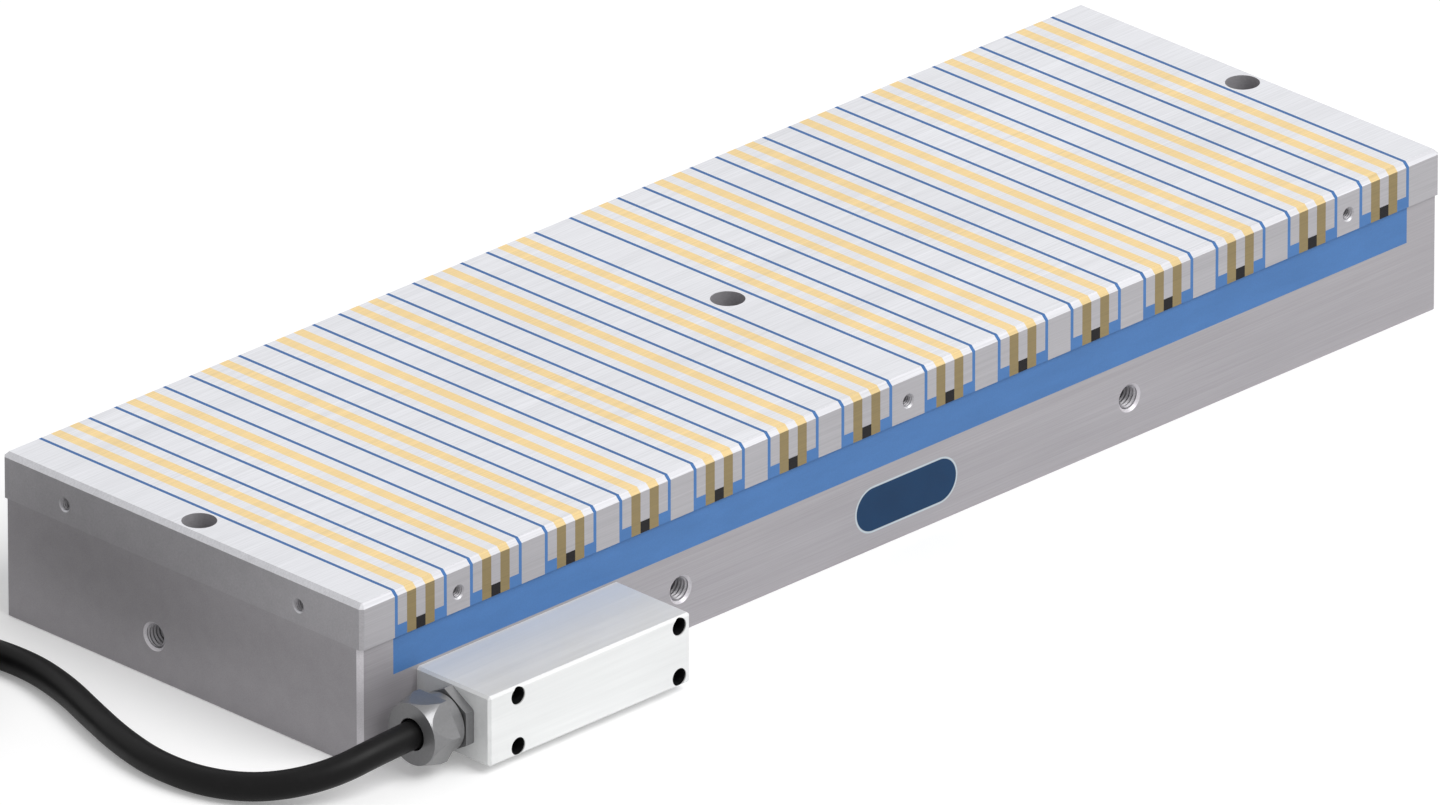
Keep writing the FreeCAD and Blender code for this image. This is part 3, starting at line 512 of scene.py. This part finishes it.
def dress(nodes):
    """Gives every node its material; returns the black steel, also used as painted shade in the
    screw wells.
    """
    # top and side colours of these ground metals hold painted light and shade, partly a real
    # ground top beside satin sides
    body = ground_metal(
        "body_steel_ground",
        (0.60, 0.60, 0.62),
        (0.36, 0.345, 0.365),
        0.3,
        # lighter colour on the chamfers: painted highlight
        edge_highlight=(0.60, 0.58, 0.61),
        lines=1900.0,
    )
    poles = ground_metal("pole_steel_ground", (0.76, 0.765, 0.80), (0.40, 0.39, 0.41), 0.3)
    brass = ground_metal(
        "brass_ground", (0.88, 0.66, 0.32), (0.25, 0.19, 0.085), 0.4, rough=(0.36, 0.5)
    )
    resin = blue_resin()
    nickel = milled_metal("nickel_plate", (0.22, 0.22, 0.225), 0.6)
    stainless = milled_metal("stainless_steel", (0.55, 0.55, 0.56), 0.8)
    black_steel_and_well_shade = plain_plastic(
        "black_oxide_steel_and_well_shade", (0.012, 0.012, 0.013), (0.005, 0.005, 0.006), 700.0, (0.45, 0.6)
    )
    rubber = plain_plastic(
        "black_rubber", (0.02, 0.02, 0.02), (0.01, 0.01, 0.01), 900.0, (0.6, 0.75)
    )
    moulded = plain_plastic("terminal_moulding", (0.30, 0.31, 0.30), (0.24, 0.25, 0.24))
    insulator = plain_plastic("connector_insulator", (0.035, 0.035, 0.037), (0.02, 0.02, 0.022))
    looks = {
        "base_body": body,
        "end_pole": poles,
        "pole_": poles,
        "brass_spacers": brass,
        "ferrite_bars": sintered_ferrite(),
        "resin_potting": resin,
        "alnico_magnets": milled_metal("alnico_cast", (0.30, 0.29, 0.28), 0.8, (0.5, 0.7)),
        "switching_coils": milled_metal(
            "copper_winding", (0.62, 0.24, 0.10), 0.8, (0.3, 0.4), (200.0, 200.0, 3000.0)
        ),
        "centre_bush": stainless,
        "plate_screws": stainless,
        "name_plate": name_plate(),
        # the box's top colour is darker than its sides: painted shade
        "connection_box": ground_metal(
            "milled_aluminium",
            (0.72, 0.72, 0.72),
            (0.80, 0.81, 0.81),
            0.2,
            lines=500.0,
            streak=0.03,
        ),
        "box_gasket": rubber,
        "box_screws": black_steel_and_well_shade,
        "terminal_block": moulded,
        "lead_wires": plain_plastic("wire_insulation", (0.45, 0.05, 0.04), (0.35, 0.03, 0.03)),
        "cable_cores": plain_plastic("core_insulation", (0.03, 0.10, 0.35), (0.02, 0.07, 0.28)),
        "gland_body": nickel,
        "gland_seal": rubber,
        "gland_thrust_ring": insulator,
        "gland_cap_nut": nickel,
        "cable": cable_sheath(),
        "connector_insert": insulator,
        "connector_pins": milled_metal("gold_contact", (0.92, 0.66, 0.22), 0.9, (0.2, 0.3)),
        "connector_": nickel,
    }
    for name, node in nodes.items():
        key = next(k for k in (name, *looks) if k in looks and name.startswith(k))
        node.data.materials.clear()
        node.data.materials.append(looks[key])
        smooth_rounds(node)
    return black_steel_and_well_shade


def smooth_rounds(node):
    """Smooth shading on curved faces, sharp where faces meet at an angle."""
    mesh = node.data
    mesh.polygons.foreach_set("use_smooth", [True] * len(mesh.polygons))
    mesh.set_sharp_from_angle(angle=math.radians(30))


# ---- floor, light and camera -----------------------------------------------------------

VIEW_DIRECTION = Vector((0.6409, 0.6409, -0.4226)).normalized()
VIEW_TARGET = Vector((0.0046, 0.0089, 0.0205))
VIEW_WIDTH = 0.5673  # metres across the picture at the target
LENS = 900.0
SENSOR = 36.0

KEY_DIRECTION = Vector((0.15, -0.60, 0.78)).normalized()
KEY_STRENGTH = 0.71  # share of a fully lit white surface
KEY_SIZE = 4.5
KEY_DISTANCE = 7.0
FILL_STRENGTH = 0.50
FLOOR_CORNERS = ((-1, -1), (1, -1), (1, 1), (-1, 1))
FLOOR_REACH = 12.0
FLOOR_SHADE = 0.86
FLOOR_GLOW = 0.22  # seen by the camera only, so that the paper runs out to white


def make_camera():
    data = bpy.data.cameras.new("camera")
    data.lens = LENS
    data.sensor_width = SENSOR
    data.clip_start, data.clip_end = 1.0, 100.0
    camera = bpy.data.objects.new("camera", data)
    bpy.context.scene.collection.objects.link(camera)
    distance = VIEW_WIDTH * LENS / SENSOR
    camera.location = VIEW_TARGET - VIEW_DIRECTION * distance
    camera.rotation_mode = "QUATERNION"
    camera.rotation_quaternion = VIEW_DIRECTION.to_track_quat("-Z", "Y")
    bpy.context.scene.camera = camera


def background_ray(tree):
    """1 for rays that show the background: camera, glossy and transmission rays."""
    path = tree.nodes.new("ShaderNodeLightPath")
    total = path.outputs["Is Camera Ray"]
    for name in ("Is Glossy Ray", "Is Transmission Ray"):
        add = tree.nodes.new("ShaderNodeMath")
        add.operation = "MAXIMUM"
        tree.links.new(total, add.inputs[0])
        tree.links.new(path.outputs[name], add.inputs[1])
        total = add.outputs["Value"]
    return total


def make_world():
    world = bpy.data.worlds.new("studio")
    bpy.context.scene.world = world
    world.use_nodes = True
    tree = world.node_tree
    strength = tree.nodes.new("ShaderNodeMapRange")
    tree.links.new(background_ray(tree), strength.inputs["Value"])
    strength.inputs["To Min"].default_value = FILL_STRENGTH
    strength.inputs["To Max"].default_value = 1.0
    background = tree.nodes["Background"]
    background.inputs["Color"].default_value = (1.0, 1.0, 1.0, 1.0)
    tree.links.new(strength.outputs["Result"], background.inputs["Strength"])


def make_floor():
    mesh = bpy.data.meshes.new("floor")
    corners = [(FLOOR_REACH * x, FLOOR_REACH * y, 0) for x, y in FLOOR_CORNERS]
    mesh.from_pydata(corners, [], [(0, 1, 2, 3)])
    floor = bpy.data.objects.new("floor", mesh)
    bpy.context.scene.collection.objects.link(floor)
    material = bpy.data.materials.new("floor_paper")
    material.use_nodes = True
    tree = material.node_tree
    shader = tree.nodes["Principled BSDF"]
    shader.inputs["Base Color"].default_value = (FLOOR_SHADE, FLOOR_SHADE, FLOOR_SHADE, 1.0)
    shader.inputs["Roughness"].default_value = 0.9
    shader.inputs["Specular IOR Level"].default_value = 0.1
    shader.inputs["Emission Color"].default_value = (1.0, 1.0, 1.0, 1.0)
    glow = tree.nodes.new("ShaderNodeMath")
    glow.operation = "MULTIPLY"
    tree.links.new(background_ray(tree), glow.inputs[0])
    glow.inputs[1].default_value = FLOOR_GLOW
    tree.links.new(glow.outputs["Value"], shader.inputs["Emission Strength"])
    mesh.materials.append(material)


def make_lamp(name, direction, share, size, distance):
    """A square soft box that gives a facing white surface that share of full brightness."""
    data = bpy.data.lights.new(name, "AREA")
    data.shape = "SQUARE"
    data.size = size
    data.energy = share * math.pi * distance**2 * math.pi
    lamp = bpy.data.objects.new(name, data)
    bpy.context.scene.collection.objects.link(lamp)
    lamp.location = direction * distance
    lamp.rotation_mode = "QUATERNION"
    lamp.rotation_quaternion = (-direction).to_track_quat("-Z", "Y")


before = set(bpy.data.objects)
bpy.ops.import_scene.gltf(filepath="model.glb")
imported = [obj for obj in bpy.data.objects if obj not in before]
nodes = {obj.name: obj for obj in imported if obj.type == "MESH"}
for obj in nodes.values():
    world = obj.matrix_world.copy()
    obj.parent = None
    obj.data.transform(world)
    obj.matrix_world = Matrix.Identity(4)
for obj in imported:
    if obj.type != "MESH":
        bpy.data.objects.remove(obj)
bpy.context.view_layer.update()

make_camera()
make_cable()
black_steel_and_well_shade = dress(nodes)

add_all_threads(milled_metal("thread_steel", (0.42, 0.41, 0.43), 0.3, (0.4, 0.55)))
# black linings in the box's screw wells: painted shade
add_well_shade_linings(black_steel_and_well_shade)
add_ties(woven_strap())

make_world()
make_floor()
make_lamp("key_light", KEY_DIRECTION, KEY_STRENGTH, KEY_SIZE, KEY_DISTANCE)

bpy.context.scene.view_settings.view_transform = "Standard"
